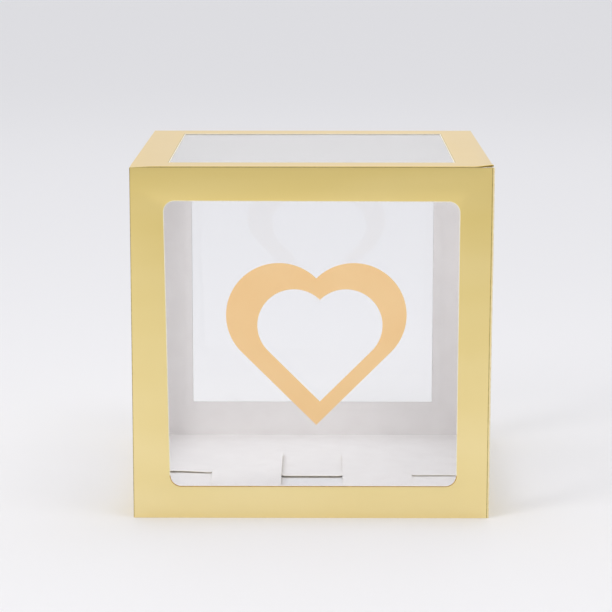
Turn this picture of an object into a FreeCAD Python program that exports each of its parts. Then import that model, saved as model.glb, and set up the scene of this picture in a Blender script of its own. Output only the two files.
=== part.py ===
import FreeCAD, Part
import os
import re
import Sketcher

# A folding carton for wedding cards. It is a cube of foil board with a clear film window in each
# wall and in the lid, a tuck lid hinged on the back wall, and a bottom that locks without glue.
# Origin: centre of the bottom, on the surface it stands on. Front is -Y and +Z is up.

document = FreeCAD.newDocument("WeddingCardBox")

# Driving dimensions in millimetres, except tuck_lean, which is in degrees.
driving_sizes = [
    ("box_width", 300),
    ("box_depth", 300),
    ("box_height", 298),
    ("board_thickness", 0.6),
    ("film_thickness", 0.2),
    ("glue_thickness", 0.1),
    ("front_border", 29),
    ("side_border", 29),
    ("back_border", 34.5),
    ("lid_border", 31),
    ("window_round", 9),
    ("film_overlap", 8),
    ("glue_inset", 1),
    ("lid_clearance", 0.3),
    ("lid_reveal", 0.4),
    ("dust_clearance", 0.3),
    ("dust_reach", 28),
    ("dust_setback", 9),
    ("dust_bevel", 10),
    ("dust_corner", 2),
    ("tuck_reach", 27),
    ("tuck_inset", 3),
    ("tuck_lean", 8),
    ("tuck_round", 12),
    ("crease_gap", 0.75),
    ("seam_gap", 4),
    ("seam_inset", 10),
    ("seam_bevel", 8),
    ("seam_glue_inset", 2.5),
    ("back_flap_reach", 163),
    ("flap_inset", 1),
    ("leg_taper", 2),
    ("finger_round", 4),
    ("notch_depth", 68),
    ("notch_clearance", 1.5),
    ("centre_gap", 55),
    ("tongue_width", 62.5),
    ("tongue_tip_width", 18.5),
    ("tongue_lap", 10),
    ("tongue_rise", 4),
    ("tongue_lead", 19),
    ("tongue_round", 6),
    ("shoulder_setback", 42),
    ("shoulder_taper", 14),
    ("side_flap_gap", 5),
    ("side_flap_bevel", 40),
    ("side_flap_inset", 3),
    ("heart_side", 88),
    ("heart_hollow", 61),
    ("heart_shift", 4),
    ("heart_swell", 3),
    ("heart_drop", 1),
    ("decal_thickness", 0.15),
]

sheet = document.addObject("Spreadsheet::Sheet", "Sizes")
for row, (alias, size) in enumerate(driving_sizes, start=1):
    sheet.set(f"A{row}", alias)
    sheet.set(f"B{row}", str(size))
    sheet.setAlias(f"B{row}", alias)
document.recompute()

# Lengths that follow from the driving ones, as expressions. Depths are measured inwards from the
# outside of a wall, and levels are heights above the floor.
half_width = "box_width / 2"
half_depth = "box_depth / 2"
inner_width = "(box_width / 2 - board_thickness)"
inner_depth = "(box_depth / 2 - board_thickness)"
lid_front = "(-box_depth / 2 + board_thickness + lid_clearance)"
lid_under = "(box_height - board_thickness)"
dust_level = "(box_height - board_thickness - glue_thickness - film_thickness - dust_clearance)"
glue_depth = "board_thickness + glue_thickness"
film_depth = "board_thickness + glue_thickness + film_thickness"
seam_depth = "2 * board_thickness + glue_thickness"
finger_edge = "(box_depth / 2 - back_flap_reach)"
notch_root = "(box_depth / 2 - back_flap_reach + notch_depth)"
tongue_inner = "(centre_gap / 2)"
tongue_outer = "(centre_gap / 2 + tongue_width)"
tongue_start = "(box_depth / 2 - back_flap_reach - tongue_lead)"
tongue_tip = "(box_depth / 2 - back_flap_reach + notch_depth + tongue_lap)"
shoulder = "(box_depth / 2 - back_flap_reach - shoulder_setback)"
flap_half = "(box_width / 2 - board_thickness - flap_inset)"
side_flap_edge = "(centre_gap / 2 + tongue_width + side_flap_gap)"

sub_parts = []


def bound(text):
    """The text as an expression, with the name of the sheet before each of its aliases."""
    return re.sub(r"\b[a-z]+(_[a-z]+)+\b", r"Sizes.\g<0>", text)


def measure(text):
    """What the text comes to with the present sizes."""
    return float(sheet.evalExpression(bound(text)))


def negative(text):
    return f"-({text})"


def startBody(label):
    body = document.addObject("PartDesign::Body", label)
    body.Label = label
    sub_parts.append(body)
    return body


def startSketch(body, name, role):
    sketch = body.newObject("Sketcher::SketchObject", name)
    plane = [feature for feature in body.Origin.OriginFeatures if feature.Role == role][0]
    sketch.AttachmentSupport = [(plane, "")]
    sketch.MapMode = "FlatFace"
    return sketch


def drawLoop(sketch, corners):
    """Adds one closed outline of straight edges, each corner held at its two expressions."""
    first = sketch.GeometryCount
    points = [FreeCAD.Vector(measure(across), measure(along), 0) for across, along in corners]
    for number, point in enumerate(points):
        following = points[(number + 1) % len(points)]
        sketch.addGeometry(Part.LineSegment(point, following), False)
    for number, corner in enumerate(corners):
        edge = first + number
        following = first + (number + 1) % len(corners)
        sketch.addConstraint(Sketcher.Constraint("Coincident", edge, 2, following, 1))
        for kind, place, expression in zip(("DistanceX", "DistanceY"), points[number], corner):
            held = sketch.addConstraint(Sketcher.Constraint(kind, -1, 1, edge, 1, place))
            held_name = f"{kind}_{edge}"
            sketch.renameConstraint(held, held_name)
            sketch.setExpression(f"Constraints.{held_name}", bound(expression))


def addPad(body, sketch, length):
    pad = body.newObject("PartDesign::Pad", sketch.Name + "Pad")
    pad.Profile = sketch
    pad.setExpression("Length", bound(length))
    document.recompute()
    return pad


def cutSheet(label, loops, thickness):
    """A flat piece of sheet: the first loop is its outline and the others are its holes."""
    body = startBody(label)
    sketch = startSketch(body, label + "_outline", "XY_Plane")
    for loop in loops:
        drawLoop(sketch, loop)
    addPad(body, sketch, thickness)
    return body


def roundCorners(body, corners, radius):
    """Rounds the edges that cross the sheet at the given corners."""
    places = [(measure(across), measure(along)) for across, along in corners]
    base = body.Tip
    crossing = []
    for number, edge in enumerate(base.Shape.Edges, start=1):
        start, end = edge.Vertexes[0].Point, edge.Vertexes[-1].Point
        for across, along in places:
            ends_there = max(abs(start.x - across), abs(end.x - across)) < 1e-4
            ends_there = ends_there and max(abs(start.y - along), abs(end.y - along)) < 1e-4
            if ends_there:
                crossing.append(f"Edge{number}")
    if len(crossing) != len(places):
        raise RuntimeError(f"{body.Label}: {len(crossing)} of {len(places)} corners found")
    fillet = body.newObject("PartDesign::Fillet", body.Label + "_rounds")
    fillet.Base = (base, crossing)
    fillet.setExpression("Radius", bound(radius))
    document.recompute()


def rectangle(left, right, bottom, top):
    return [(left, bottom), (right, bottom), (right, top), (left, top)]


def window(half_span, low, high, border, growth="0"):
    """The window's rectangle in a panel, grown on every side."""
    side = f"({half_span} - {border} + {growth})"
    return rectangle(
        negative(side), side, f"{low} + {border} - ({growth})", f"{high} - {border} + {growth}"
    )


turns = {"front": 0, "right": 90, "back": 180, "left": -90}


def standOnWall(piece, wall, depth):
    """Turns a piece drawn in the XY plane upright, its inner face at this depth in the wall."""
    upright = FreeCAD.Rotation(FreeCAD.Vector(1, 0, 0), 90)
    facing = FreeCAD.Rotation(FreeCAD.Vector(0, 0, 1), turns[wall])
    piece.Placement = FreeCAD.Placement(FreeCAD.Vector(0, 0, 0), facing.multiply(upright))
    places = {
        "front": ("y", f"-{half_depth} + {depth}"),
        "back": ("y", f"{half_depth} - ({depth})"),
        "left": ("x", f"-{half_width} + {depth}"),
        "right": ("x", f"{half_width} - ({depth})"),
    }
    along, place = places[wall]
    piece.setExpression(f".Placement.Base.{along}", bound(place))


def layFlat(piece, level):
    """Leaves a piece drawn in the XY plane lying flat, its lower face at this level."""
    piece.setExpression(".Placement.Base.z", bound(level))


def patchWindow(name, span, low, high, border):
    """The clear film over a window and the glue that holds it, both still lying flat."""
    film = cutSheet(
        f"{name}_window_film", [window(span, low, high, border, "film_overlap")], "film_thickness"
    )
    glue = cutSheet(
        f"{name}_film_glue",
        [
            window(span, low, high, border, "film_overlap - glue_inset"),
            window(span, low, high, border, "glue_inset"),
        ],
        "glue_thickness",
    )
    return film, glue


# Walls. The front and back span the full width, and the sides stand between them.
walls = [
    ("front", half_width, "box_height - lid_reveal", "front_border", True),
    ("back", half_width, lid_under, "back_border", False),
    ("left", inner_depth, f"{dust_level} - board_thickness", "side_border", True),
    ("right", inner_depth, f"{dust_level} - board_thickness", "side_border", True),
]
for wall, reach, top, border, rounded in walls:
    window_span = half_width if wall in ("front", "back") else half_depth
    opening = window(window_span, "0", "box_height", border)
    outline = rectangle(negative(reach), reach, "0", top)
    panel = cutSheet(f"{wall}_panel", [outline, opening], "board_thickness")
    if rounded:
        roundCorners(panel, opening, "window_round")
    standOnWall(panel, wall, "board_thickness")
    film, glue = patchWindow(wall, window_span, "0", "box_height", border)
    standOnWall(film, wall, film_depth)
    standOnWall(glue, wall, glue_depth)

# The carton is two blanks, joined at two opposite corners: the left wall's seam flap is glued
# behind the front wall and the right wall's behind the back wall.
for wall, border in (("front", "front_border"), ("back", "back_border")):
    outer = negative(inner_width)
    inner = f"-({half_width} - {border} + film_overlap + seam_gap)"
    seam_flap = cutSheet(
        f"{wall}_seam_flap",
        [
            [
                (outer, "seam_inset"),
                (inner, "seam_inset + seam_bevel"),
                (inner, "box_height - seam_inset - seam_bevel"),
                (outer, "box_height - seam_inset"),
            ]
        ],
        "board_thickness",
    )
    standOnWall(seam_flap, wall, seam_depth)
    seam_glue = cutSheet(
        f"{wall}_seam_glue",
        [
            rectangle(
                f"{outer} + seam_glue_inset",
                f"{inner} - seam_glue_inset",
                "seam_inset + seam_bevel",
                "box_height - seam_inset - seam_bevel",
            )
        ],
        "glue_thickness",
    )
    standOnWall(seam_glue, wall, glue_depth)

# Lid. It lies on the back wall, between the side edges, and drops in behind the front wall.
lid_half = f"({half_width} - lid_clearance)"
lid_window = window(half_width, f"-{half_depth}", half_depth, "lid_border")
lid = cutSheet(
    "lid_panel",
    [rectangle(negative(lid_half), lid_half, lid_front, half_depth), lid_window],
    "board_thickness",
)
layFlat(lid, lid_under)
film, glue = patchWindow("lid", half_width, f"-{half_depth}", half_depth, "lid_border")
layFlat(glue, f"{lid_under} - glue_thickness")
layFlat(film, f"{lid_under} - glue_thickness - film_thickness")

# Tuck flap. It is drawn below the lid's front crease and leans inwards from it, so that its free
# edge clears the front wall as the lid swings up.
tuck_half = f"({half_width} - board_thickness - tuck_inset)"
tuck_low = "-tuck_reach"
tuck = cutSheet(
    "tuck_flap",
    [rectangle(negative(tuck_half), tuck_half, tuck_low, "-crease_gap")],
    "board_thickness",
)
roundCorners(tuck, [(negative(tuck_half), tuck_low), (tuck_half, tuck_low)], "tuck_round")
tuck.Placement = FreeCAD.Placement(
    FreeCAD.Vector(0, 0, 0), FreeCAD.Rotation(FreeCAD.Vector(1, 0, 0), 90)
)
tuck.setExpression(".Placement.Rotation.Angle", bound("90 + tuck_lean"))
lean_across = "board_thickness * cos(tuck_lean * 1deg)"
lean_down = "board_thickness * sin(tuck_lean * 1deg)"
tuck.setExpression(".Placement.Base.y", bound(f"{lid_front} + {lean_across}"))
tuck.setExpression(".Placement.Base.z", bound(f"box_height + {lean_down}"))

# Dust flaps. Each is the side wall's top edge folded in under the lid. The back corner is cut away
# at 45 degrees or more, which keeps it under the lid while both rise.
for wall, sign in (("left", "-"), ("right", "")):
    crease = f"{sign}{half_width}"
    free = f"{sign}({half_width} - dust_reach)"
    dust_flap = cutSheet(
        f"{wall}_dust_flap",
        [
            [
                (crease, f"-{half_depth} + dust_setback"),
                (free, f"-{half_depth} + dust_setback + dust_bevel"),
                (free, f"{half_depth} - dust_corner - dust_reach"),
                (crease, f"{half_depth} - dust_corner"),
            ]
        ],
        "board_thickness",
    )
    layFlat(dust_flap, f"{dust_level} - board_thickness")

# Bottom side flaps, the second layer up.
for wall, sign in (("left", "-"), ("right", "")):
    crease = f"{sign}{inner_width}"
    free = f"{sign}{side_flap_edge}"
    end = f"({inner_depth} - side_flap_inset)"
    side_flap = cutSheet(
        f"bottom_{wall}_flap",
        [
            [
                (crease, negative(end)),
                (free, f"-{end} + side_flap_bevel"),
                (free, f"{end} - side_flap_bevel"),
                (crease, end),
            ]
        ],
        "board_thickness",
    )
    layFlat(side_flap, "board_thickness")


def mirrored(corners):
    """The corners on the right, from front to back, and the same on the left coming back."""
    return corners + [(negative(across), along) for across, along in reversed(corners)]


# Bottom back flap, the third layer up: a centre finger and two outer fingers. Each notch between
# them is slanted on its outer side, as the tongue that comes up through it is.
finger_side = f"({tongue_inner} - notch_clearance)"
leg_side = f"({tongue_outer} + notch_clearance)"
notch_far_side = f"({tongue_inner} + tongue_tip_width + tongue_lap)"
back_flap = cutSheet(
    "bottom_back_flap",
    [
        mirrored(
            [
                (flap_half, inner_depth),
                (f"{flap_half} - leg_taper", finger_edge),
                (leg_side, finger_edge),
                (notch_far_side, notch_root),
                (finger_side, notch_root),
                (finger_side, finger_edge),
            ]
        )
    ],
    "board_thickness",
)
rounded_tips = mirrored([(leg_side, finger_edge), (finger_side, finger_edge)])
roundCorners(back_flap, rounded_tips, "finger_round")
layFlat(back_flap, "2 * board_thickness")

# Bottom front flap, the lowest layer. Its two tongues climb through the notches of the back flap
# and lie over it.
front_flap = cutSheet(
    "bottom_front_flap",
    [
        mirrored(
            [
                (flap_half, negative(inner_depth)),
                (f"{flap_half} - shoulder_taper", shoulder),
                (tongue_outer, shoulder),
                (tongue_outer, tongue_start),
                (tongue_inner, tongue_start),
                (tongue_inner, shoulder),
            ]
        )
    ],
    "board_thickness",
)
for side, sign, start in (("left", "-", negative(tongue_outer)), ("right", "", tongue_inner)):
    profile = startSketch(front_flap, f"{side}_tongue_profile", "YZ_Plane")
    profile.setExpression("AttachmentOffset.Base.z", bound(start))
    drawLoop(
        profile,
        [
            (tongue_start, "0"),
            (tongue_tip, "tongue_rise"),
            (tongue_tip, "tongue_rise + board_thickness"),
            (tongue_start, "board_thickness"),
        ],
    )
    addPad(front_flap, profile, "tongue_width")
    slant = startSketch(front_flap, f"{side}_tongue_slant", "XY_Plane")
    tip_outer = f"{sign}({tongue_inner} + tongue_tip_width)"
    beyond = f"{sign}({tongue_outer} + tongue_width)"
    drawLoop(
        slant,
        [
            (f"{sign}{tongue_outer}", f"{finger_edge} - board_thickness"),
            (tip_outer, tongue_tip),
            (tip_outer, f"{tongue_tip} + tongue_lap"),
            (beyond, f"{tongue_tip} + tongue_lap"),
            (beyond, f"{finger_edge} - board_thickness"),
        ],
    )
    pocket = front_flap.newObject("PartDesign::Pocket", f"{side}_tongue_cut")
    pocket.Profile = slant
    pocket.Type = "ThroughAll"
    pocket.Reversed = True
    whole = front_flap.Shape.Volume
    document.recompute()
    if front_flap.Shape.Volume > 0.99 * whole:
        raise RuntimeError("a tongue's slanted side was not cut")
roundCorners(front_flap, mirrored([(tongue_inner, tongue_tip)]), "tongue_round")
layFlat(front_flap, "0")


def makeHeart(name, side, across, along, thickness, start):
    """A heart drawn as a square standing on one corner, with a round lobe on each upper side."""
    square = document.addObject("Part::Box", name + "_square")
    square.Placement.Rotation = FreeCAD.Rotation(FreeCAD.Vector(0, 0, 1), 45)
    square.setExpression("Length", bound(side))
    square.setExpression("Width", bound(side))
    square.setExpression("Height", bound(thickness))
    square.setExpression(".Placement.Base.x", bound(across))
    square.setExpression(".Placement.Base.y", bound(f"{along} - {side} / sqrt(2)"))
    square.setExpression(".Placement.Base.z", bound(start))
    pieces = [square]
    for lobe_name, sign in (("_left", "-"), ("_right", "+")):
        lobe = document.addObject("Part::Cylinder", name + lobe_name)
        lobe.setExpression("Radius", bound(f"{side} / 2"))
        lobe.setExpression("Height", bound(thickness))
        lobe.setExpression(".Placement.Base.x", bound(f"{across} {sign} {side} / sqrt(8)"))
        lobe.setExpression(".Placement.Base.y", bound(f"{along} + {side} / sqrt(8)"))
        lobe.setExpression(".Placement.Base.z", bound(start))
        pieces.append(lobe)
    heart = document.addObject("Part::MultiFuse", name)
    heart.Shapes = pieces
    return heart


# Heart decal, stuck on the outside of the front film. The hollow is set off to one side, so that
# the outline swells on the other.
decal = document.addObject("Part::Cut", "heart_decal")
decal.Label = "heart_decal"
decal.Base = makeHeart("heart_outside", "heart_side", "0", "0", "decal_thickness", "0")
decal.Tool = makeHeart(
    "heart_inside",
    "heart_hollow",
    "heart_swell",
    "heart_drop",
    "3 * decal_thickness",
    "-decal_thickness",
)
decal.Refine = True
sub_parts.append(decal)
standOnWall(decal, "front", glue_depth)
decal.setExpression(".Placement.Base.x", bound("heart_shift"))
heart_middle = "heart_side * (1 / sqrt(8) + 1 / 2 - 1 / sqrt(2)) / 2"
decal.setExpression(".Placement.Base.z", bound(f"box_height / 2 - {heart_middle}"))
document.recompute()

for thing in document.Objects:
    if "Invalid" in thing.State or "Error" in thing.State:
        raise RuntimeError(f"{thing.Label} did not compute: {thing.State}")
for piece in sub_parts:
    if piece.Shape.isNull() or not piece.Shape.isValid() or len(piece.Shape.Solids) != 1:
        raise RuntimeError(f"{piece.Label} is not one valid solid")

os.makedirs("parts", exist_ok=True)
for piece in sub_parts:
    piece.Shape.exportStep(f"parts/{piece.Label}.step")
    extent = piece.Shape.BoundBox
    print(
        f"{piece.Label:22s} {piece.Shape.Volume:10.1f}",
        f"x {extent.XMin:8.2f} {extent.XMax:8.2f}",
        f"y {extent.YMin:8.2f} {extent.YMax:8.2f}",
        f"z {extent.ZMin:8.2f} {extent.ZMax:8.2f}",
    )
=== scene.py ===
import math

import bmesh
import bpy
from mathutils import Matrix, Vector


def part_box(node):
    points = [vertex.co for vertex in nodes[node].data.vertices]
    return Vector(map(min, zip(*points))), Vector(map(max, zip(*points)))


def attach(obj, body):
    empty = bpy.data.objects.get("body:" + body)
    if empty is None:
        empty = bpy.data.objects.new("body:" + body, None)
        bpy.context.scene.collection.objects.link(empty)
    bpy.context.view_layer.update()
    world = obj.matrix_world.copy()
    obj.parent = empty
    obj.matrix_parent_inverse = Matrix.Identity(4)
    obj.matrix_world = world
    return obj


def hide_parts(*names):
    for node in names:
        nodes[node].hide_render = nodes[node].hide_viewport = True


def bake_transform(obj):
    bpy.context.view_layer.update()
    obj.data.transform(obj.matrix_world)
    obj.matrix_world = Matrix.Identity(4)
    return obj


# A wedding card box: a folding carton of gold foil board with clear film windows, a tuck lid, a
# lock bottom and a heart decal. Front is -Y, up is +Z, and lengths are in metres.

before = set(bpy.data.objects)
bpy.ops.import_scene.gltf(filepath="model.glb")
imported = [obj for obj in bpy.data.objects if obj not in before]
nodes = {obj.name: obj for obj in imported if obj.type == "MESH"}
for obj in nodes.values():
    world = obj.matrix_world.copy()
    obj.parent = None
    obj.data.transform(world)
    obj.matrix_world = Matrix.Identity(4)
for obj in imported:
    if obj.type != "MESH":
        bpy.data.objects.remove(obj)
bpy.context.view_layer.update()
print("loaded", len(nodes), "parts")

axes = {"x": Vector((1, 0, 0)), "y": Vector((0, 1, 0)), "z": Vector((0, 0, 1))}
flatOn = 0.99  # cosines above which a face counts as flat to a direction,
squareOn = 0.9  # as square on to it,
bendOn = 0.7  # as the outside of a bend
sideOn = 0.5  # and as one side of the board
slight = 0.0001  # lengths too small to matter
tiny = 0.00001
mergeWithin = 0.000002
noise = "ShaderNodeTexNoise"


def clearSelection():
    if bpy.context.mode != "OBJECT":
        bpy.ops.object.mode_set(mode="OBJECT")
    bpy.ops.object.select_all(action="DESELECT")


def holdOnly(piece):
    clearSelection()
    piece.select_set(True)
    bpy.context.view_layer.objects.active = piece


def startEdit(piece, kind):
    holdOnly(piece)
    bpy.ops.object.mode_set(mode="EDIT")
    bpy.ops.mesh.select_mode(type=kind)
    bpy.ops.mesh.select_all(action="DESELECT")


def endEdit():
    bpy.ops.object.mode_set(mode="OBJECT")


def pick(piece, kind, test):
    # selects by a test on the mesh's verts, edges or faces, and stays in edit mode
    bpy.ops.mesh.select_mode(type={"verts": "VERT", "edges": "EDGE", "faces": "FACE"}[kind])
    bpy.ops.mesh.select_all(action="DESELECT")
    mesh = bmesh.from_edit_mesh(piece.data)
    for part in getattr(mesh, kind):
        if test(part):
            part.select_set(True)
    mesh.select_flush_mode()
    bmesh.update_edit_mesh(piece.data)


def tidyMesh(piece):
    startEdit(piece, "VERT")
    bpy.ops.mesh.select_all(action="SELECT")
    bpy.ops.mesh.remove_doubles(threshold=mergeWithin)
    bpy.ops.mesh.normals_make_consistent(inside=False)
    endEdit()


def near(value, wanted, slack=0.00002):
    return abs(value - wanted) < slack


def settle(value):
    return tuple(round(part, 6) for part in value)


def newMaterial(name):
    material = bpy.data.materials.new(name)
    material.use_nodes = True
    tree = material.node_tree
    return material, tree, tree.nodes["Principled BSDF"]


def link(tree, source, target):
    tree.links.new(source, target)


def patternOn(tree, kind, stretch, settings):
    # a procedural texture on object coordinates, stretched by a mapping node
    place = tree.nodes.new("ShaderNodeTexCoord")
    mapping = tree.nodes.new("ShaderNodeMapping")
    mapping.inputs["Scale"].default_value = stretch
    texture = tree.nodes.new(kind)
    link(tree, place.outputs["Object"], mapping.inputs["Vector"])
    link(tree, mapping.outputs["Vector"], texture.inputs["Vector"])
    for socket, value in settings.items():
        texture.inputs[socket].default_value = value
    return texture


def evenNoise(tree, scale, detail):
    return patternOn(tree, noise, (1, 1, 1), {"Scale": scale, "Detail": detail})


def spread(tree, source, low, high, fromLow=0.3, fromHigh=0.7):
    # a pattern's middle range mapped to low and high
    node = tree.nodes.new("ShaderNodeMapRange")
    node.inputs["From Min"].default_value = fromLow
    node.inputs["From Max"].default_value = fromHigh
    node.inputs["To Min"].default_value = low
    node.inputs["To Max"].default_value = high
    link(tree, source, node.inputs["Value"])
    return node.outputs["Result"]


def colourRange(tree, source, stops):
    ramp = tree.nodes.new("ShaderNodeValToRGB")
    while len(ramp.color_ramp.elements) < len(stops):
        ramp.color_ramp.elements.new(0.5)
    for element, (position, colour) in zip(ramp.color_ramp.elements, stops):
        element.position = position
        element.color = (*colour, 1)
    link(tree, source, ramp.inputs["Fac"])
    return ramp.outputs["Color"]


def bumpFrom(tree, layers):
    # layers are (height source, strength, distance); each bump builds on the one before
    last = None
    for source, strength, distance in layers:
        bump = tree.nodes.new("ShaderNodeBump")
        bump.inputs["Strength"].default_value = strength
        bump.inputs["Distance"].default_value = distance
        link(tree, source, bump.inputs["Height"])
        if last:
            link(tree, last, bump.inputs["Normal"])
        last = bump.outputs["Normal"]
    return last


goldFinish = {
    "low": (0.975, 0.81, 0.405),  # painted shade: the foil is painted paler at the bottom of the box and deeper at its top, standing in for the light it reflects
    "high": (0.875, 0.69, 0.256),  # to its top
    "top": 0.298,
    "cloud": 0.15,
    "grazing": (0.92, 0.86, 0.86),  # how it reflects at a shallow angle
    "rough": (0.276, 0.288),
    "brushRange": (0.2, 0.8),  # part of the brushing's range that spreads the roughness
    "coat": 0.05,
    "coatRoughness": 0.2,
    "cloudStretch": (7, 7, 22),  # the clouding lies level across the board
    "brushStretch": (55, 55, 420),
    "fibreScale": 1100,
    "buckleScale": 11,
    "buckleStretch": (1, 1, 0.8),
    "buckleBump": (0.3, 0.001),  # strength and depth
    "brushBump": (0.02, 0.00001),
    "fibreBump": (0.03, 0.00001),
    "nickScale": 260,
    "nickRough": (0.34, 0.52),
    "nickBump": (0.3, 0.00008),
    # painted shade: darker foil along pressed cut edges and beside creases
    "pressedShade": ((0.40, 0.30, 0.10), (0.66, 0.52, 0.22)),
    # painted deep shade: the lid's front fold where it turns down, and the edge on the ground
    "seam": ((0.22, 0.14, 0.02), (0.36, 0.24, 0.045)),
    # painted shade: a dark orange line on the cut lip under the front window
    "lipShade": ((0.50, 0.25, 0.03), (0.70, 0.38, 0.07)),
    # painted highlight: pale, less metallic foil round the front wall's right fold
    "foldHighlight": ((0.86, 0.72, 0.42), (0.95, 0.88, 0.70)),
    "highlightMetal": 0.45,
}


def makeGoldFoil():
    # satin foil: level clouding from the rollers, a very fine brushing and a slow buckle, with
    # painted shade deepening it upward
    material, tree, shader = newMaterial("gold_foil")
    cloud = patternOn(tree, noise, goldFinish["cloudStretch"], {"Scale": 1, "Detail": 1})
    brush = patternOn(tree, noise, goldFinish["brushStretch"], {"Scale": 1, "Detail": 2})
    fibre = evenNoise(tree, goldFinish["fibreScale"], 5)
    buckleSettings = {"Scale": goldFinish["buckleScale"], "Detail": 0}
    buckle = patternOn(tree, noise, goldFinish["buckleStretch"], buckleSettings)
    place = tree.nodes.new("ShaderNodeTexCoord")
    parts = tree.nodes.new("ShaderNodeSeparateXYZ")
    link(tree, place.outputs["Object"], parts.inputs["Vector"])
    tone = tree.nodes.new("ShaderNodeMath")  # painted shade by height, with the clouding added
    link(tree, spread(tree, parts.outputs["Z"], 0, 1, 0, goldFinish["top"]), tone.inputs[0])
    depth = goldFinish["cloud"]
    link(tree, spread(tree, cloud.outputs["Fac"], -depth, depth), tone.inputs[1])
    stops = [(0, goldFinish["low"]), (1, goldFinish["high"])]
    link(tree, colourRange(tree, tone.outputs["Value"], stops), shader.inputs["Base Color"])
    roughRange = (*goldFinish["rough"], *goldFinish["brushRange"])
    link(tree, spread(tree, brush.outputs["Fac"], *roughRange), shader.inputs["Roughness"])
    shader.inputs["Metallic"].default_value = 1
    shader.inputs["Specular Tint"].default_value = (*goldFinish["grazing"], 1)
    shader.inputs["Coat Weight"].default_value = goldFinish["coat"]
    shader.inputs["Coat Roughness"].default_value = goldFinish["coatRoughness"]
    layers = [
        (buckle.outputs["Fac"], *goldFinish["buckleBump"]),
        (brush.outputs["Fac"], *goldFinish["brushBump"]),
        (fibre.outputs["Fac"], *goldFinish["fibreBump"]),
    ]
    link(tree, bumpFrom(tree, layers), shader.inputs["Normal"])
    return material


def makeFoilEdge(name, dark, light, metallic=1):
    # foil with fine nicks between two colours: pressed foil painted as edge shade, and the painted
    # deep shade, lip shade and fold highlight
    material, tree, shader = newMaterial(name)
    nick = evenNoise(tree, goldFinish["nickScale"], 4).outputs["Fac"]
    colour = colourRange(tree, nick, [(0.3, dark), (0.75, light)])
    link(tree, colour, shader.inputs["Base Color"])
    link(tree, spread(tree, nick, *goldFinish["nickRough"]), shader.inputs["Roughness"])
    shader.inputs["Metallic"].default_value = metallic
    link(tree, bumpFrom(tree, [(nick, *goldFinish["nickBump"])]), shader.inputs["Normal"])
    return material


boardFinish = {
    "white": (0.92, 0.90, 0.895),
    "shade": (0.885, 0.86, 0.855),
    "rough": (0.62, 0.8),
    "specular": 0.35,
    "mottleScale": 55,
    "mottleBump": (0.12, 0.0004),
    "fibreScale": 1300,
    "fibreStretch": (1, 2.5, 1),
    "fibreBump": (0.3, 0.00008),
    "hairScale": 700,
    "hairStretch": (1, 0.22, 1),
    "hairBump": (0.08, 0.00006),
    "coreLight": (0.97, 0.93, 0.82),
    "coreDark": (0.88, 0.80, 0.60),
    "coreRough": (0.7, 0.9),
    "plyScale": 800,
    "plyBump": (0.5, 0.0001),
}


def makeWhiteBoard():
    # the uncoated inside of the board: soft mottling and short fibres
    material, tree, shader = newMaterial("white_board")
    mottle = evenNoise(tree, boardFinish["mottleScale"], 6).outputs["Fac"]
    fibreSettings = {"Scale": boardFinish["fibreScale"], "Detail": 6}
    fibre = patternOn(tree, noise, boardFinish["fibreStretch"], fibreSettings).outputs["Fac"]
    hairSettings = {"Scale": boardFinish["hairScale"]}
    hair = patternOn(tree, "ShaderNodeTexVoronoi", boardFinish["hairStretch"], hairSettings)
    stops = [(0.3, boardFinish["shade"]), (0.7, boardFinish["white"])]
    link(tree, colourRange(tree, mottle, stops), shader.inputs["Base Color"])
    link(tree, spread(tree, fibre, *boardFinish["rough"]), shader.inputs["Roughness"])
    shader.inputs["Specular IOR Level"].default_value = boardFinish["specular"]
    layers = [
        (mottle, *boardFinish["mottleBump"]),
        (fibre, *boardFinish["fibreBump"]),
        (hair.outputs["Distance"], *boardFinish["hairBump"]),
    ]
    link(tree, bumpFrom(tree, layers), shader.inputs["Normal"])
    return material


def makeBoardCore():
    # the cut edge of the board, with its pressed layers
    material, tree, shader = newMaterial("board_core")
    plies = evenNoise(tree, boardFinish["plyScale"], 5).outputs["Fac"]
    stops = [(0.3, boardFinish["coreDark"]), (0.6, boardFinish["coreLight"])]
    link(tree, colourRange(tree, plies, stops), shader.inputs["Base Color"])
    link(tree, spread(tree, plies, *boardFinish["coreRough"]), shader.inputs["Roughness"])
    link(tree, bumpFrom(tree, [(plies, *boardFinish["plyBump"])]), shader.inputs["Normal"])
    return material


filmFinish = {
    "tint": (0.997, 0.998, 1.0),
    "glossColour": (0.95, 0.95, 0.95),
    "rough": (0.02, 0.06),
    "normalGloss": 0.03,  # share of mirror sheen seen square on
    "grazingGloss": 0.9,  # and seen along the film
    "sheenPower": 5,
    "hazeColour": (0.9, 0.9, 0.92),
    "haze": 0.008,
    "rippleScale": 12,
    "rippleBump": (0.25, 0.002),
    "scuffScale": 9,
    "scuffStretch": (30, 30, 60),
    "gluedScale": 90,
    "gluedRough": (0.28, 0.40),
    "gluedBump": (0.05, 0.0002),
}


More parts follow.
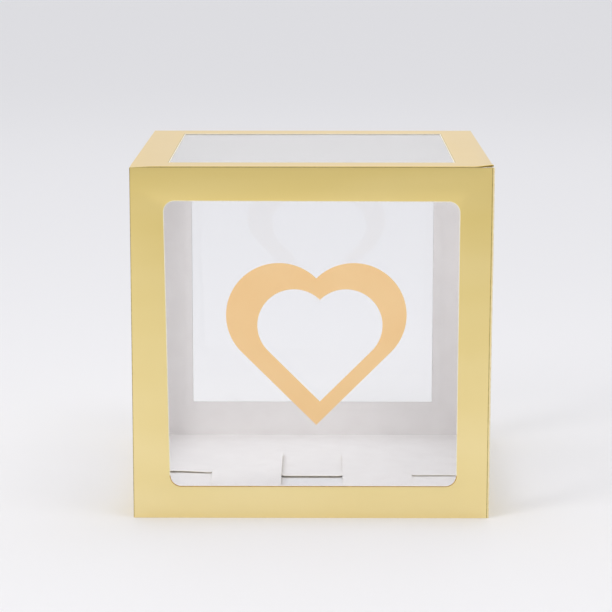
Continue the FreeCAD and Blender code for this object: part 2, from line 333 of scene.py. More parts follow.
def makeClearFilm():
    # see-through, with a mirror sheen that grows at a shallow angle, and a faint haze
    material, tree, shader = newMaterial("clear_film")
    tree.nodes.remove(shader)
    output = tree.nodes["Material Output"]
    ripple = evenNoise(tree, filmFinish["rippleScale"], 2)
    scuffSettings = {"Scale": filmFinish["scuffScale"], "Detail": 5}
    scuff = patternOn(tree, noise, filmFinish["scuffStretch"], scuffSettings).outputs["Fac"]
    normal = bumpFrom(tree, [(ripple.outputs["Fac"], *filmFinish["rippleBump"])])
    clear = tree.nodes.new("ShaderNodeBsdfTransparent")
    clear.inputs["Color"].default_value = (*filmFinish["tint"], 1)
    gloss = tree.nodes.new("ShaderNodeBsdfGlossy")
    gloss.inputs["Color"].default_value = (*filmFinish["glossColour"], 1)
    link(tree, spread(tree, scuff, *filmFinish["rough"]), gloss.inputs["Roughness"])
    link(tree, normal, gloss.inputs["Normal"])
    haze = tree.nodes.new("ShaderNodeBsdfDiffuse")
    haze.inputs["Color"].default_value = (*filmFinish["hazeColour"], 1)
    facing = tree.nodes.new("ShaderNodeLayerWeight")
    facing.inputs["Blend"].default_value = 0.5
    power = tree.nodes.new("ShaderNodeMath")
    power.operation = "POWER"
    power.inputs[1].default_value = filmFinish["sheenPower"]
    link(tree, facing.outputs["Facing"], power.inputs[0])
    glossRange = (filmFinish["normalGloss"], filmFinish["grazingGloss"])
    sheen = spread(tree, power.outputs["Value"], *glossRange, 0, 1)
    veil = tree.nodes.new("ShaderNodeMixShader")
    hazeShare = spread(tree, scuff, 0.5 * filmFinish["haze"], filmFinish["haze"])
    link(tree, hazeShare, veil.inputs["Fac"])
    link(tree, clear.outputs["BSDF"], veil.inputs[1])
    link(tree, haze.outputs["BSDF"], veil.inputs[2])
    mix = tree.nodes.new("ShaderNodeMixShader")
    link(tree, sheen, mix.inputs["Fac"])
    link(tree, veil.outputs["Shader"], mix.inputs[1])
    link(tree, gloss.outputs["BSDF"], mix.inputs[2])
    link(tree, mix.outputs["Shader"], output.inputs["Surface"])
    return material


def makeGluedFilm():
    # film glued down on white board: the board shows through a smooth gloss
    material, tree, shader = newMaterial("glued_film")
    blot = evenNoise(tree, filmFinish["gluedScale"], 4).outputs["Fac"]
    stops = [(0.3, boardFinish["shade"]), (0.7, boardFinish["white"])]
    link(tree, colourRange(tree, blot, stops), shader.inputs["Base Color"])
    link(tree, spread(tree, blot, *filmFinish["gluedRough"]), shader.inputs["Roughness"])
    link(tree, bumpFrom(tree, [(blot, *filmFinish["gluedBump"])]), shader.inputs["Normal"])
    return material


glueFinish = {
    "deep": (0.96, 0.945, 0.935),
    "light": (0.985, 0.97, 0.96),
    "rough": (0.2, 0.45),
    "blotScale": 140,
    "blotBump": (0.4, 0.0001),
}


def makeClearGlue():
    # a thin wet-looking line of clear glue, with the white board showing through it
    material, tree, shader = newMaterial("clear_glue")
    blot = evenNoise(tree, glueFinish["blotScale"], 5).outputs["Fac"]
    stops = [(0.3, glueFinish["deep"]), (0.7, glueFinish["light"])]
    link(tree, colourRange(tree, blot, stops), shader.inputs["Base Color"])
    link(tree, spread(tree, blot, *glueFinish["rough"]), shader.inputs["Roughness"])
    link(tree, bumpFrom(tree, [(blot, *glueFinish["blotBump"])]), shader.inputs["Normal"])
    return material


vinylFinish = {
    "light": (0.995, 0.68, 0.34),
    "deep": (0.98, 0.65, 0.31),
    "rough": (0.42, 0.55),
    "specular": 0.4,
    "toneScale": 30,
    "toneBump": (0.1, 0.0006),
    "peelScale": 1500,
    "peelBump": (0.15, 0.00003),
}


def makePeachVinyl():
    # matt vinyl, with a fine orange-peel grain and a slow wave where it was laid down by hand
    material, tree, shader = newMaterial("peach_vinyl")
    tone = evenNoise(tree, vinylFinish["toneScale"], 3).outputs["Fac"]
    peel = evenNoise(tree, vinylFinish["peelScale"], 3).outputs["Fac"]
    stops = [(0.3, vinylFinish["deep"]), (0.7, vinylFinish["light"])]
    link(tree, colourRange(tree, tone, stops), shader.inputs["Base Color"])
    link(tree, spread(tree, peel, *vinylFinish["rough"]), shader.inputs["Roughness"])
    shader.inputs["Specular IOR Level"].default_value = vinylFinish["specular"]
    layers = [(tone, *vinylFinish["toneBump"]), (peel, *vinylFinish["peelBump"])]
    link(tree, bumpFrom(tree, layers), shader.inputs["Normal"])
    return material


goldFoil = makeGoldFoil()
# painted shade and highlight: pressed edges, deep shade, the lip under the window and the fold
# highlight
foilPressedShade = makeFoilEdge("gold_foil_pressed_shade", *goldFinish["pressedShade"])
foilDeepShade = makeFoilEdge("gold_foil_deep_shade", *goldFinish["seam"])
foilLipShade = makeFoilEdge("gold_foil_lip_shade", *goldFinish["lipShade"])
foilFoldHighlight = makeFoilEdge("gold_foil_fold_highlight", *goldFinish["foldHighlight"], goldFinish["highlightMetal"])
whiteBoard = makeWhiteBoard()
boardCore = makeBoardCore()
clearFilm = makeClearFilm()
gluedFilm = makeGluedFilm()
clearGlue = makeClearGlue()
peachVinyl = makePeachVinyl()
boardMaterials = [goldFoil, whiteBoard, boardCore, foilPressedShade, foilDeepShade, foilLipShade, foilFoldHighlight]
foil, white, core, pressedShade, seam, lipShade, foldHighlight = range(len(boardMaterials))
print("materials made")


board = {
    "thickness": 0.0006,
    "crushWidth": 0.0006,  # rim where the die has cut through the foil
    "crushDrop": 0.00016,
    "rollWidth": 0.0006,  # foil pressed down beside it
    "rollDrop": 0.00005,
    "smoothAngle": math.radians(35),
    "cutPast": 0.004,  # how far a window's cutter runs past the board
    "cornerSlack": 0.0008,  # points this much farther off than the nearest one move with it
}
thickness = board["thickness"]
pressed = board["crushWidth"] + board["rollWidth"]  # width of the pressed rim


def centreOf(face):
    return face.calc_center_median()


def isUpright(edge):
    # an edge through the thickness of a board that lies flat
    return abs(edge.verts[0].co.z - edge.verts[1].co.z) > thickness / 2


def onGround(face):
    # the cut edge that the box stands on
    return centreOf(face).z < slight


def useMaterials(piece, materials):
    piece.data.materials.clear()
    for material in materials:
        piece.data.materials.append(material)


def boardPlate(name, low, high):
    # a flat plate between two corners
    clearSelection()
    middle = [(a + b) / 2 for a, b in zip(low, high)]
    span = [b - a for a, b in zip(low, high)]
    bpy.ops.mesh.primitive_cube_add(size=1, location=middle, scale=span)
    plate = bpy.context.object
    plate.name = name
    plate.data.name = name
    bpy.ops.object.transform_apply(location=True, rotation=False, scale=True)
    useMaterials(plate, boardMaterials)
    return plate


def cutAway(plate, cutter):
    # takes the cutter's shape out of the plate
    holdOnly(plate)
    modifier = plate.modifiers.new("cut", "BOOLEAN")
    modifier.operation = "DIFFERENCE"
    modifier.solver = "EXACT"
    modifier.object = cutter
    bpy.ops.object.modifier_apply(modifier="cut")
    bpy.data.objects.remove(cutter)


def runsAlong(edge, way):
    along = (edge.verts[0].co - edge.verts[1].co).normalized()
    return abs(along.dot(way)) > squareOn


def cutWindow(plate, film, across, corner, shifts=()):
    # The window is the film's outline less its overlap, right through the plate. Corner is the
    # radius of its corners, and each of the shifts (left or right, low or high, move) moves one.
    low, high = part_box(film)
    for axis in "xyz":
        inward = -board["cutPast"] if axis == across else overlap
        setattr(low, axis, getattr(low, axis) + inward)
        setattr(high, axis, getattr(high, axis) - inward)
    middle = (low.z + high.z) / 2
    cutter = boardPlate("window_cutter", low, high)
    for side, level, move in shifts:
        startEdit(cutter, "VERT")
        pick(cutter, "verts", lambda v: side * v.co.x > 0 and level * (v.co.z - middle) > 0)
        bpy.ops.transform.translate(value=move)
        endEdit()
    if corner:
        startEdit(cutter, "EDGE")
        pick(cutter, "edges", lambda edge: runsAlong(edge, axes[across]))
        bpy.ops.mesh.bevel(offset=corner, segments=walls["windowSteps"], profile=0.5)
        endEdit()
    cutAway(plate, cutter)


def scoreGrid(plate, cuts):
    # extra edges across the plate, each given as (axis, place)
    startEdit(plate, "FACE")
    for axis, place in cuts:
        bpy.ops.mesh.select_all(action="SELECT")
        bpy.ops.mesh.bisect(plane_co=axes[axis] * place, plane_no=axes[axis])
    endEdit()


def paintRim(face, rolled):
    # foil pressed down beside a crushed rim of bare board, painted darker as shade
    return pressedShade if rolled else core


def finishBoard(plate, outward, spare=None, plainEdge=None, press=True, rimPaint=paintRim):
    # Gives each face its side of the board and presses the outside over along every cut edge.
    # Spare tells which points stay flat, where a fold goes on, and plainEdge which edges are foil.
    outward = Vector(outward)
    spare = spare or (lambda point: False)
    plainEdge = plainEdge or (lambda face: False)
    startEdit(plate, "FACE")
    mesh = bmesh.from_edit_mesh(plate.data)
    for face in mesh.faces:
        side = face.normal.dot(outward)
        face.material_index = foil if side > sideOn else white if side < -sideOn else core
        if abs(side) <= sideOn and plainEdge(face):
            face.material_index = foil
    bmesh.update_edit_mesh(plate.data)
    if press:
        pick(plate, "faces", lambda face: face.normal.dot(outward) > flatOn)
        bpy.ops.mesh.inset(thickness=board["crushWidth"], use_boundary=True, use_even_offset=True)
        bpy.ops.mesh.inset(thickness=board["rollWidth"], use_boundary=True, use_even_offset=True)
        mesh = bmesh.from_edit_mesh(plate.data)
        inner = {v for face in mesh.faces if face.select for v in face.verts}
        ring = [f for f in mesh.faces if not f.select and f.normal.dot(outward) > flatOn]
        roll = {v for f in ring if inner.intersection(f.verts) for v in f.verts} - inner
        crush = {v for f in ring for v in f.verts} - inner - roll
        for face in ring:
            if not any(spare(v.co) for v in face.verts):
                rolled = bool(inner.intersection(face.verts))
                face.material_index = rimPaint(face, rolled)
        drops = ((crush, board["crushDrop"]), (roll, board["rollDrop"]))
        places = [({settle(v.co) for v in group if not spare(v.co)}, drop) for group, drop in drops]
        bmesh.update_edit_mesh(plate.data)
        for group, drop in places:
            pick(plate, "verts", lambda point: settle(point.co) in group)
            bpy.ops.transform.translate(value=outward * -drop)
    endEdit()
    finishShading(plate)


def finishShading(plate):
    tidyMesh(plate)
    holdOnly(plate)
    bpy.ops.object.shade_smooth_by_angle(angle=board["smoothAngle"])


def turnFold(plate, test, centre, axis, angle, steps):
    # carries the board's end face round a crease, where spin counts the angle the other way
    startEdit(plate, "FACE")
    pick(plate, "faces", test)
    bpy.ops.mesh.spin(steps=steps, angle=-angle, center=centre, axis=axis)
    endEdit()


def foldStrip(name, low, high, centre, axis, angle, steps):
    # a strip of board that only bends: its flat end face, turned about the crease
    strip = boardPlate(name, low, high)
    startEdit(strip, "FACE")
    thin = [a for a in "xyz" if near(getattr(Vector(low), a), getattr(Vector(high), a))][0]
    bpy.ops.mesh.select_all(action="SELECT")
    bpy.ops.mesh.remove_doubles(threshold=0.5 * tiny)
    pick(strip, "faces", lambda face: abs(face.normal.dot(axes[thin])) > squareOn)
    bpy.ops.mesh.spin(steps=steps, angle=-angle, center=centre, axis=axis)
    endEdit()
    tidyMesh(strip)
    return strip


def liftCorner(piece, centre, reach, rise):
    # moves the board round a point, less and less with distance
    startEdit(piece, "VERT")
    centre = Vector(centre)
    slack = board["cornerSlack"]
    nearest = min((v.co - centre).length for v in bmesh.from_edit_mesh(piece.data).verts)
    pick(piece, "verts", lambda point: (point.co - centre).length < nearest + slack)
    bpy.ops.transform.translate(
        value=rise,
        use_proportional_edit=True,
        proportional_edit_falloff="SMOOTH",
        proportional_size=reach,
    )
    endEdit()


def belongs(piece, body, replaced):
    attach(piece, body)
    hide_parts(replaced)


walls = {
    "filmOverlap": 0.008,
    "windowRound": 0.009,
    "windowSteps": 12,
    "foldRadius": 0.0018,  # outside of the two folded upright corners
    "creaseRadius": 0.0012,  # outside of the lid's folds
    "dustRadius": 0.001,
    "foldSteps": 8,
    "flare": (0.0009, 0, 0),  # the front right corner spreads towards its top
    "flareAt": (0.15, -0.15, 0.298),
    "flareReach": 0.24,
    "gridStep": 0.02,
    "besideFold": 0.01,
    "besideFrom": -0.14,
    "scoreWidth": 0.0005,
    "highlightFrom": 0.35,  # where round the fold the painted highlight starts and ends
    "highlightTo": 0.2,
    "seamDrop": 0.0004,  # the front wall's top edge lies this much below the lid's fold
    "frontShifts": (  # the front window is cut a little out of square
        (-1, -1, (0.0024, 0, -0.0014)),
        (-1, 1, (-0.0011, 0, 0.0002)),
        (1, -1, (0.0007, 0, -0.0014)),
        (1, 1, (0.0003, 0, -0.0004)),
    ),
}
overlap = walls["filmOverlap"]
foldRadius = walls["foldRadius"]
lidLow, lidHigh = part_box("lid_panel")
levels = [("z", walls["gridStep"] * step) for step in range(1, 15)]

frontRim = {"topFrom": 0.29, "groundTo": 0.002, "leftTo": -0.148, "lipTo": 0.05, "lipHalf": 0.13}


def paintFrontRim(face, rolled):
    # The top edge stays plain foil, the ground edge is painted deep shade, the lip under the window
    # painted orange shade, and the left outer edge painted darker shade.
    middle = centreOf(face)
    if rolled or middle.z > frontRim["topFrom"]:
        return foil
    if middle.z < frontRim["groundTo"]:
        return seam
    if middle.x < frontRim["leftTo"]:
        return pressedShade
    if middle.z < frontRim["lipTo"] and abs(middle.x) < frontRim["lipHalf"]:
        return lipShade
    return core


def flareCorner(wall):
    liftCorner(wall, walls["flareAt"], walls["flareReach"], walls["flare"])


def makeFrontWall():
    low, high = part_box("front_panel")
    high.z -= walls["seamDrop"]
    foldStart = high.x - foldRadius
    wall = boardPlate("front_wall", low, Vector((foldStart, high.y, high.z)))
    cutWindow(wall, "front_window_film", "y", walls["windowRound"], walls["frontShifts"])
    finishBoard(
        wall,
        (0, -1, 0),
        spare=lambda point: point.x > foldStart - pressed,
        plainEdge=onGround,
        rimPaint=paintFrontRim,
    )
    turnFold(
        wall,
        lambda face: face.normal.x > squareOn and centreOf(face).x > foldStart - slight,
        (foldStart, low.y + foldRadius, 0),
        (0, 0, 1),
        math.radians(90),
        walls["foldSteps"],
    )
    paintFold(wall, lambda point: point.x > foldStart + tiny)
    for face in wall.data.polygons:
        beside = foldStart - walls["scoreWidth"] < face.center.x < foldStart
        if beside and face.normal.y < -squareOn:
            face.material_index = pressedShade  # painted shade along the scored crease
        if face.normal.x > walls["highlightFrom"] and face.normal.y < -walls["highlightTo"]:
            face.material_index = foldHighlight  # and a pale highlight is painted round the fold
    scoreGrid(wall, levels + [("x", foldStart - walls["besideFold"])])
    flareCorner(wall)
    finishShading(wall)
    belongs(wall, "carton", "front_panel")


def makeBackWall():
    low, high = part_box("back_panel")
    foldStart = low.x + foldRadius
    lowered = walls["creaseRadius"] - (lidHigh.z - high.z)
    top = high.z - lowered  # the lid's back fold stands on it
    start = Vector((foldStart, low.y, low.z))
    wall = boardPlate("back_wall", start, Vector((high.x, high.y, top)))
    cutWindow(wall, "back_window_film", "y", 0)
    finishBoard(
        wall,
        (0, 1, 0),
        spare=lambda point: point.x < foldStart + pressed or point.z > top - pressed,
        plainEdge=onGround,
    )
    turnFold(
        wall,
        lambda face: face.normal.x < -squareOn and centreOf(face).x < foldStart + slight,
        (foldStart, high.y - foldRadius, 0),
        (0, 0, 1),
        math.radians(90),
        walls["foldSteps"],
    )
    paintFold(wall, lambda point: point.x < foldStart - tiny)
    finishShading(wall)
    belongs(wall, "carton", "back_panel")


def paintFold(wall, test):
    # foil on the outside of a fold, white on the inside and board on its cut ends
    for face in wall.data.polygons:
        points = [wall.data.vertices[number].co for number in face.vertices]
        if any(test(point) for point in points):
            outward = Vector((face.center.x, face.center.y, 0))
            if abs(face.normal.z) > sideOn:
                face.material_index = core
            elif face.normal.dot(outward) > 0:
                face.material_index = foil
            else:
                face.material_index = white


def makeSideWall(side):
    sign = -1 if side == "left" else 1
    low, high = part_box(f"{side}_panel")
    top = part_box(f"{side}_dust_flap")[1].z - walls["dustRadius"]
    start, end = low.copy(), high.copy()
    end.z = top
    if side == "left":
        end.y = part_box("back_panel")[1].y - foldRadius
        fold = end.y
    else:
        start.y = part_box("front_panel")[0].y + foldRadius
        fold = start.y
    wall = boardPlate(f"{side}_wall", start, end)
    cutWindow(wall, f"{side}_window_film", "x", walls["windowRound"])
    finishBoard(
        wall,
        (sign, 0, 0),
        spare=lambda point: point.z > top - pressed or sign * point.y < pressed + sign * fold,
        plainEdge=onGround,
    )
    if side == "right":
        first, gap = walls["besideFrom"], walls["besideFold"]
        scoreGrid(wall, levels + [("y", first + gap * step) for step in range(8)])
        flareCorner(wall)
        finishShading(wall)
    belongs(wall, "carton", f"{side}_panel")


makeFrontWall()
makeBackWall()
makeSideWall("left")
makeSideWall("right")
print("walls made")


lid = {
    "frontTurn": 98,  # degrees from the lid's top down to the tuck flap
    "liftRise": 0.0014,
    "liftReach": 0.016,
    "dipRise": -0.0006,
    "dipReach": 0.02,
    "tuckRound": 0.012,
    "tuckSteps": 10,
    "shadeFrom": -0.6,  # the front fold is painted dark as shade where it turns this far down
    "foldPast": 0.0002,  # how far the front fold's end lies below its centre
    "gridStep": 0.002,
}
creaseRadius = walls["creaseRadius"]
frontTurn = math.radians(lid["frontTurn"])
tangent = creaseRadius * math.tan(frontTurn / 2)
cornerCuts = [
    ("x", sign * (lidHigh.x - lid["gridStep"] * step)) for sign in (-1, 1) for step in range(1, 10)
]


def shapeLidCorners(piece):
    # the front right corner stands up a little, and the front left one dips
    liftCorner(
        piece, (lidHigh.x, lidLow.y, lidHigh.z), lid["liftReach"], (0, 0, lid["liftRise"])
    )
    liftCorner(piece, (lidLow.x, lidLow.y, lidHigh.z), lid["dipReach"], (0, 0, lid["dipRise"]))


def makeLid():
    start = Vector((lidLow.x, lidLow.y + tangent, lidLow.z))
    end = Vector((lidHigh.x, lidHigh.y - creaseRadius, lidHigh.z))
    panel = boardPlate("lid_board", start, end)
    cutWindow(panel, "lid_window_film", "z", 0)
    finishBoard(
        panel,
        (0, 0, 1),
        spare=lambda point: point.y < start.y + pressed or point.y > end.y - pressed,
    )
    frontCuts = [("y", start.y + lid["gridStep"] * step) for step in range(1, 8)]
    scoreGrid(panel, cornerCuts + frontCuts)
    shapeLidCorners(panel)
    finishShading(panel)
    belongs(panel, "lid", "lid_panel")


def makeLidFolds():
    # the board bends over the back crease and over the tuck flap's crease
    middle = (0, lidHigh.y - creaseRadius, lidHigh.z - creaseRadius)
    back = foldStrip(
        "lid_back_fold",
        (lidLow.x, lidHigh.y - thickness, middle[2]),
        (lidHigh.x, lidHigh.y, middle[2]),
        middle,
        (1, 0, 0),
        math.radians(90),
        walls["foldSteps"],
    )
    paintStrip(back, Vector(middle), "x")
    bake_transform(back)
    centre = Vector((0, lidLow.y + tangent, lidHigh.z - creaseRadius))
    front = foldStrip(
        "lid_front_fold",
        (lidLow.x, centre.y, lidHigh.z - thickness),
        (lidHigh.x, centre.y, lidHigh.z),
        centre,
        (1, 0, 0),
        frontTurn,
        walls["foldSteps"],
    )
    scoreGrid(front, cornerCuts)
    paintStrip(front, centre, "x")
    # painted shade where the front fold turns down behind the front wall
    for face in front.data.polygons:
        if face.material_index == foil and face.normal.y < lid["shadeFrom"]:
            face.material_index = seam
    shapeLidCorners(front)
    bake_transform(front)


def paintStrip(strip, centre, along):
    # foil on the outside of the bend, white on the inside, board on the ends
    for face in strip.data.polygons:
        away = face.center - centre
        setattr(away, along, 0)
        out = face.normal.dot(away.normalized())
        face.material_index = foil if out > bendOn else white if out < -bendOn else core
    holdOnly(strip)
    bpy.ops.object.shade_smooth_by_angle(angle=board["smoothAngle"])


def makeTuck():
    low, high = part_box("tuck_flap")
    lean = frontTurn - math.radians(90)
    reach = (lidHigh.z - low.z) / math.cos(lean)
    flap = boardPlate(
        "tuck_board",
        (low.x, lidLow.y, lidHigh.z - reach),
        (high.x, lidLow.y + thickness, lidHigh.z - tangent),
    )
    startEdit(flap, "EDGE")
    pick(
        flap,
        "edges",
        lambda edge: abs(edge.verts[0].co.y - edge.verts[1].co.y) > thickness / 2
        and edge.verts[0].co.z < lidHigh.z - 0.5 * reach,
    )
    bpy.ops.mesh.bevel(offset=lid["tuckRound"], segments=lid["tuckSteps"], profile=0.5)
    endEdit()
    finishBoard(flap, (0, -1, 0), spare=lambda point: point.z > lidHigh.z - tangent - pressed)
    startEdit(flap, "VERT")
    bpy.ops.mesh.select_all(action="SELECT")
    bpy.ops.transform.rotate(
        value=-lean, orient_axis="X", center_override=(0, lidLow.y, lidHigh.z)
    )
    endEdit()
    finishShading(flap)
    belongs(flap, "tuck", "tuck_flap")


dust = {
    "frontCut": 0.010,  # how far each end of the free edge is cut back
    "backCut": 0.028,
    "cornerRound": 0.003,
    "cornerSteps": 5,
}


def cutFlapEnds(flap, free, ends, corner, steps):
    # slants the flap's ends back to its free edge at x = free, and rounds the two corners there
    startEdit(flap, "VERT")
    for end, shift in ends:
        pick(flap, "verts", lambda v: near(v.co.x, free) and near(v.co.y, end))
        bpy.ops.transform.translate(value=(0, shift, 0))
    pick(
        flap,
        "edges",
        lambda e: all(near(v.co.x, free) for v in e.verts)
        and near(e.verts[0].co.y, e.verts[1].co.y),
    )
    bpy.ops.mesh.bevel(offset=corner, segments=steps, profile=0.5)
    endEdit()


def makeDustFlap(side):
    sign = -1 if side == "left" else 1
    low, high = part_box(f"{side}_dust_flap")
    radius = walls["dustRadius"]
    crease = sign * (abs(high.x if sign > 0 else low.x) - radius)
    free = low.x if sign > 0 else high.x
    flap = boardPlate(
        f"{side}_dust_board",
        (min(crease, free), low.y, low.z),
        (max(crease, free), high.y, high.z),
    )
    ends = ((low.y, dust["frontCut"]), (high.y, -dust["backCut"]))
    cutFlapEnds(flap, free, ends, dust["cornerRound"], dust["cornerSteps"])
    finishBoard(flap, (0, 0, 1), spare=lambda point: abs(point.x) > abs(crease) - pressed)
    belongs(flap, f"{side}_dust", f"{side}_dust_flap")
    centre = Vector((crease, 0, high.z - radius))
    outer = sign * (abs(crease) + radius)
    inner = outer - sign * thickness
    strip = foldStrip(
        f"{side}_dust_fold",
        (min(outer, inner), low.y, centre.z),
        (max(outer, inner), high.y, centre.z),
        centre,
        (0, -sign, 0),
        math.radians(90),
        walls["foldSteps"],
    )
    paintStrip(strip, centre, "y")
    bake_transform(strip)


makeLid()
makeLidFolds()
makeTuck()
makeDustFlap("left")
makeDustFlap("right")
print("lid and its flaps made")


bottom = {
    "sideFree": 0.0893,  # free edge of a side flap, under the tongue's outer side
    "sideCut": 0.040,
    "sideRound": 0.005,
    "cornerSteps": 6,
    "cutterPast": 0.01,  # how far a cutter runs past the board
    "backTaper": 0.002,
    "notchRoot": 0.055,
    "fingerSide": 0.0278,  # the tongues lie over the centre finger's edges
    "legSide": 0.0905,  # inner side of an outer finger at its free edge
    "legFarSide": 0.0522,  # and at the root of the notch
    "fingerRound": 0.004,
    "tongueInner": 0.0275,
    "tongueOuter": 0.090,
    "shoulder": -0.055,  # where the tongues start
    "shoulderTaper": 0.014,
    "tonguePath": (  # (along, up) for each step of a tongue
        (0.018, 0.0),
        (0.012, 0.0004),
        (0.012, 0.0010),
        (0.012, 0.0013),
        (0.014, 0.0012),
        (0.016, 0.0007),
        (0.018, 0.0001),
        (0.018, -0.0004),
    ),
    "slantStart": -0.0136,  # the tongues' outer sides slant in from here
    "slantEnd": 0.065,
    "slantTip": 0.046,
    "slantPast": 0.02,  # how far the slant's cutter runs on beyond the slant,
    "slantFar": 0.17,  # and out to the side
    "tongueRound": 0.006,
    "liftHeight": 0.004,  # height of the places from which a tongue is lifted
    "sideGrid": 0.012,
    "backGrid": (0.0125, 0.009),  # across and along
    "backGridStart": 0.004,
    "frontGrid": 0.008,
    "frontGridStart": -0.026,
    "fingerLifts": (  # (x, y, reach, rise) of each place that curls up or is pressed down
        (-0.122, -0.013, 0.085, 0.0046),
        (0.118, -0.013, 0.060, 0.0009),
        (-0.066, 0.030, 0.034, -0.0008),
        (0.066, 0.030, 0.034, -0.0006),
    ),
    "tongueLifts": (
        (-0.096, -0.014, 0.058, 0.0048),
        (-0.0275, -0.030, 0.050, 0.0028),
        (-0.060, 0.038, 0.040, -0.0026),
        (0.090, -0.013, 0.040, 0.0011),
        (0.066, 0.030, 0.044, -0.0022),
        (0.0275, 0.040, 0.070, -0.0020),
    ),
    "sideLifts": {
        "left": (-0.118, -0.02, 0.085, 0.0036),
        "right": (0.118, -0.02, 0.06, 0.0003),
    },
}


def makeSideFlap(side):
    low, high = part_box(f"bottom_{side}_flap")
    if side == "left":
        free = high.x = -bottom["sideFree"]
    else:
        free = low.x = bottom["sideFree"]
    flap = boardPlate(f"bottom_{side}_board", low, high)
    ends = ((low.y, bottom["sideCut"]), (high.y, -bottom["sideCut"]))
    cutFlapEnds(flap, free, ends, bottom["sideRound"], bottom["cornerSteps"])
    finishBoard(flap, (0, 0, -1))
    along = [("y", bottom["sideGrid"] * step) for step in range(-10, 9)]
    scoreGrid(flap, along + [("x", 0.5 * (low.x + high.x))])
    x, y, reach, rise = bottom["sideLifts"][side]
    liftCorner(flap, (x, y, high.z), reach, (0, 0, rise))
    finishShading(flap)
    belongs(flap, "carton", f"bottom_{side}_flap")


def makeBackFlap():
    low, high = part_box("bottom_back_flap")
    flap = boardPlate("bottom_back_board", low, high)
    startEdit(flap, "VERT")
    for sign in (-1, 1):
        pick(flap, "verts", lambda v: sign * v.co.x > 0 and near(v.co.y, low.y))
        bpy.ops.transform.translate(value=(-sign * bottom["backTaper"], 0, 0))
    endEdit()
    past = bottom["cutterPast"]
    for sign in (-1, 1):
        sides = sorted((sign * bottom["fingerSide"], sign * bottom["legSide"]))
        notch = boardPlate(
            "notch_cutter",
            (sides[0], low.y - past, low.z - past),
            (sides[1], bottom["notchRoot"], high.z + past),
        )
        slant = bottom["legSide"] - bottom["legFarSide"]
        beyond = past * slant / (bottom["notchRoot"] - low.y)
        startEdit(notch, "VERT")
        outer = sign * bottom["legSide"]
        pick(notch, "verts", lambda v: near(v.co.x, outer) and v.co.y > 0)
        bpy.ops.transform.translate(value=(-sign * slant, 0, 0))
        pick(notch, "verts", lambda v: near(v.co.x, outer))
        bpy.ops.transform.translate(value=(sign * beyond, 0, 0))
        endEdit()
        cutAway(flap, notch)
    startEdit(flap, "EDGE")
    tips = (bottom["fingerSide"], bottom["legSide"])
    pick(
        flap,
        "edges",
        lambda e: isUpright(e)
        and near(e.verts[0].co.y, low.y)
        and any(near(abs(e.verts[0].co.x), tip, slack=0.0002) for tip in tips),
    )
    bpy.ops.mesh.bevel(offset=bottom["fingerRound"], segments=bottom["cornerSteps"], profile=0.5)
    endEdit()
    finishBoard(flap, (0, 0, -1))
    acrossStep, alongStep = bottom["backGrid"]
    across = [("x", acrossStep * step) for step in range(-11, 12)]
    along = [("y", low.y + bottom["backGridStart"] + alongStep * step) for step in range(12)]
    scoreGrid(flap, across + along)
    for x, y, reach, rise in bottom["fingerLifts"]:
        liftCorner(flap, (x, y, high.z), reach, (0, 0, rise))
    finishShading(flap)
    belongs(flap, "carton", "bottom_back_flap")


def makeFrontFlap():
    low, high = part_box("bottom_front_flap")
    shoulder, inner, outer = bottom["shoulder"], bottom["tongueInner"], bottom["tongueOuter"]
    flap = boardPlate("bottom_front_board", low, (high.x, shoulder, low.z + thickness))
    startEdit(flap, "VERT")
    for sign in (-1, 1):
        pick(flap, "verts", lambda v: sign * v.co.x > 0 and near(v.co.y, shoulder))
        bpy.ops.transform.translate(value=(-sign * bottom["shoulderTaper"], 0, 0))
    endEdit()
    scoreGrid(flap, [("x", sign * place) for sign in (-1, 1) for place in (inner, outer)])
    startEdit(flap, "FACE")
    for sign in (-1, 1):
        middle = sign * (inner + outer) / 2
        pick(
            flap,
            "faces",
            lambda face: face.normal.y > squareOn
            and near(centreOf(face).x, middle, slack=0.001)
            and near(centreOf(face).y, shoulder, slack=0.001),
        )
        for along, up in bottom["tonguePath"]:
            bpy.ops.mesh.extrude_region_move(TRANSFORM_OT_translate={"value": (0, along, up)})
    endEdit()
    past = bottom["slantPast"]
    run = bottom["slantEnd"] - bottom["slantStart"]
    wider = (outer - bottom["slantTip"]) / run
    for sign in (-1, 1):
        tip, far = sign * bottom["slantTip"], sign * bottom["slantFar"]
        cutter = boardPlate(
            "slant_cutter",
            (min(tip, far), bottom["slantStart"], -bottom["cutterPast"]),
            (max(tip, far), bottom["slantEnd"] + past, past),
        )
        startEdit(cutter, "VERT")
        pick(cutter, "verts", lambda v: near(v.co.x, tip) and near(v.co.y, bottom["slantStart"]))
        bpy.ops.transform.translate(value=(sign * wider * run, 0, 0))
        pick(cutter, "verts", lambda v: near(v.co.x, tip))
        bpy.ops.transform.translate(value=(-sign * wider * past, 0, 0))
        endEdit()
        cutAway(flap, cutter)
    startEdit(flap, "EDGE")
    tipEnd = max(v.co.y for v in flap.data.vertices)
    pick(
        flap,
        "edges",
        lambda e: isUpright(e)
        and near(e.verts[0].co.y, tipEnd)
        and near(abs(e.verts[0].co.x), inner),
    )
    bpy.ops.mesh.bevel(offset=bottom["tongueRound"], segments=bottom["cornerSteps"], profile=0.5)
    endEdit()
    finishBoard(flap, (0, 0, -1), press=False)
    grid = bottom["frontGrid"]
    across = [("x", sign * (inner + grid * step)) for sign in (-1, 1) for step in range(1, 8)]
    along = [("y", bottom["frontGridStart"] + grid * step) for step in range(12)]
    scoreGrid(flap, across + along)
    for x, y, reach, rise in bottom["tongueLifts"]:
        liftCorner(flap, (x, y, bottom["liftHeight"]), reach, (0, 0, rise))
    finishShading(flap)
    belongs(flap, "carton", "bottom_front_flap")


makeSideFlap("left")
makeSideFlap("right")
makeBackFlap()
makeFrontFlap()
print("bottom made")


# how far the clear middle of each film runs in behind the board
filmMargins = {"front": 0.0015, "back": 0.0004, "left": 0.0004, "right": 0.0004, "lid": 0.0004}


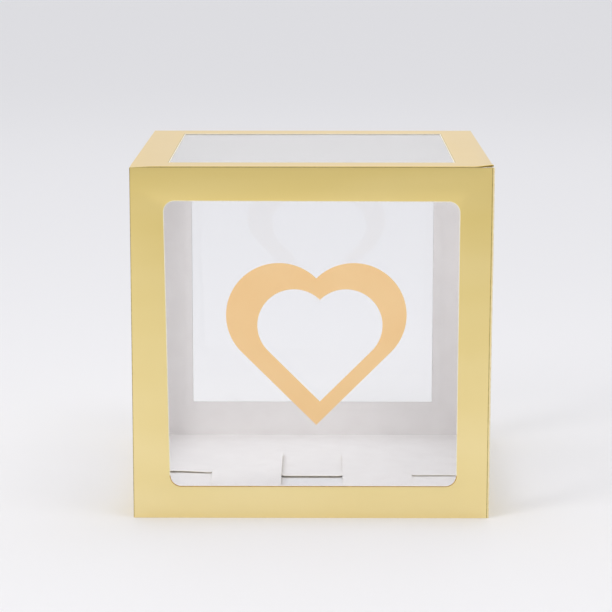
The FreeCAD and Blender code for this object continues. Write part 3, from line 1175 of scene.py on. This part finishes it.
def makeFilm(wall, body, across):
    # one sheet, clear over the window and glued down on the board round it
    low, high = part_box(f"{wall}_window_film")
    sheet = boardPlate(f"{wall}_film_sheet", low, high)
    useMaterials(sheet, [clearFilm, gluedFilm])
    inset = overlap - filmMargins[wall]
    spans = {a: (getattr(low, a) + inset, getattr(high, a) - inset) for a in "xyz" if a != across}
    scoreGrid(sheet, [(axis, place) for axis, span in spans.items() for place in span])
    for face in sheet.data.polygons:
        clear = all(a < getattr(face.center, axis) < b for axis, (a, b) in spans.items())
        face.material_index = 0 if clear else 1
    finishShading(sheet)
    belongs(sheet, body, f"{wall}_window_film")


for wall in ("front", "back"):
    makeFilm(wall, "carton", "y")
for wall in ("left", "right"):
    makeFilm(wall, "carton", "x")
makeFilm("lid", "lid", "z")
print("films made")


keptFinishes = {
    "film_glue": clearGlue,
    "seam_glue": clearGlue,
    "seam_flap": whiteBoard,
    "heart_decal": peachVinyl,
}
for name, part in nodes.items():
    for ending, material in keptFinishes.items():
        if name.endswith(ending):
            useMaterials(part, [material])
print("glue and heart finished")


stage = {
    "floorHalf": 40,
    "floorDrop": 0.00005,
    "floorColour": (0.87, 0.865, 0.882),
    "floorRough": 0.9,
    "floorSpecular": 0.1,
    "worldColour": (0.93, 0.935, 0.955),
    "frontStrength": 0.34,
    "backStrength": 0.92,
    "zenithStrength": 0.40,  # added straight overhead
    "aim": (0, 0, 0.1),  # where the lamps point
}


def makeFloor():
    clearSelection()
    place = (0, 0, -stage["floorDrop"])
    bpy.ops.mesh.primitive_plane_add(size=2 * stage["floorHalf"], location=place)
    floor = bpy.context.object
    floor.name = "floor"
    bpy.ops.object.transform_apply(location=True, rotation=False, scale=False)
    material, tree, shader = newMaterial("pale_floor")
    shader.inputs["Base Color"].default_value = (*stage["floorColour"], 1)
    shader.inputs["Roughness"].default_value = stage["floorRough"]
    shader.inputs["Specular IOR Level"].default_value = stage["floorSpecular"]
    floor.data.materials.append(material)


lights = {
    "key": {"place": (-2.6, -2.2, 2.4), "size": 1.8, "power": 37, "colour": (1, 0.98, 0.96)},
    "top": {"place": (0.25, -0.4, 1.6), "size": 0.5, "power": 2.2, "colour": (1, 0.99, 0.97)},
    "back": {"place": (0.2, 2.6, 2.2), "size": 2.0, "power": 3, "colour": (0.98, 0.985, 1)},
    "side": {"place": (1.9, -0.7, 0.35), "size": 0.7, "power": 2.5, "colour": (1, 0.99, 0.97)},
}


def makeLights():
    world = bpy.data.worlds.new("studio")
    world.use_nodes = True
    tree = world.node_tree
    background = tree.nodes["Background"]
    background.inputs["Color"].default_value = (*stage["worldColour"], 1)
    way = tree.nodes.new("ShaderNodeTexCoord")
    parts = tree.nodes.new("ShaderNodeSeparateXYZ")
    link(tree, way.outputs["Generated"], parts.inputs["Vector"])
    strengths = (stage["frontStrength"], stage["backStrength"])
    share = spread(tree, parts.outputs["Y"], *strengths, -1, 1)
    above = spread(tree, parts.outputs["Z"], 0, stage["zenithStrength"], 0.1, 1)
    total = tree.nodes.new("ShaderNodeMath")
    link(tree, share, total.inputs[0])
    link(tree, above, total.inputs[1])
    link(tree, total.outputs["Value"], background.inputs["Strength"])
    bpy.context.scene.world = world
    for name, light in lights.items():
        data = bpy.data.lights.new(name, "AREA")
        data.shape = "DISK"
        data.size = light["size"]
        data.energy = light["power"]
        data.color = light["colour"]
        lamp = bpy.data.objects.new(name, data)
        lamp.location = light["place"]
        aim = Vector(stage["aim"]) - Vector(light["place"])
        lamp.rotation_euler = aim.to_track_quat("-Z", "Y").to_euler()
        bpy.context.scene.collection.objects.link(lamp)


view = {
    "place": (0.0066, -2.0321, 0.5142),
    "down": 10.02,
    "left": 0.34,
    "lens": 135.35,
    "sensor": 36,
    "farthest": 200,
}


def makeCamera():
    data = bpy.data.cameras.new("camera")
    data.lens = view["lens"]
    data.sensor_width = view["sensor"]
    data.clip_end = view["farthest"]
    camera = bpy.data.objects.new("camera", data)
    camera.location = view["place"]
    camera.rotation_euler = (math.radians(90 - view["down"]), 0, math.radians(view["left"]))
    bpy.context.scene.collection.objects.link(camera)
    bpy.context.scene.camera = camera


makeFloor()
makeLights()
makeCamera()
bpy.context.scene.view_settings.view_transform = "Standard"
print("stage set")

clearSelection()
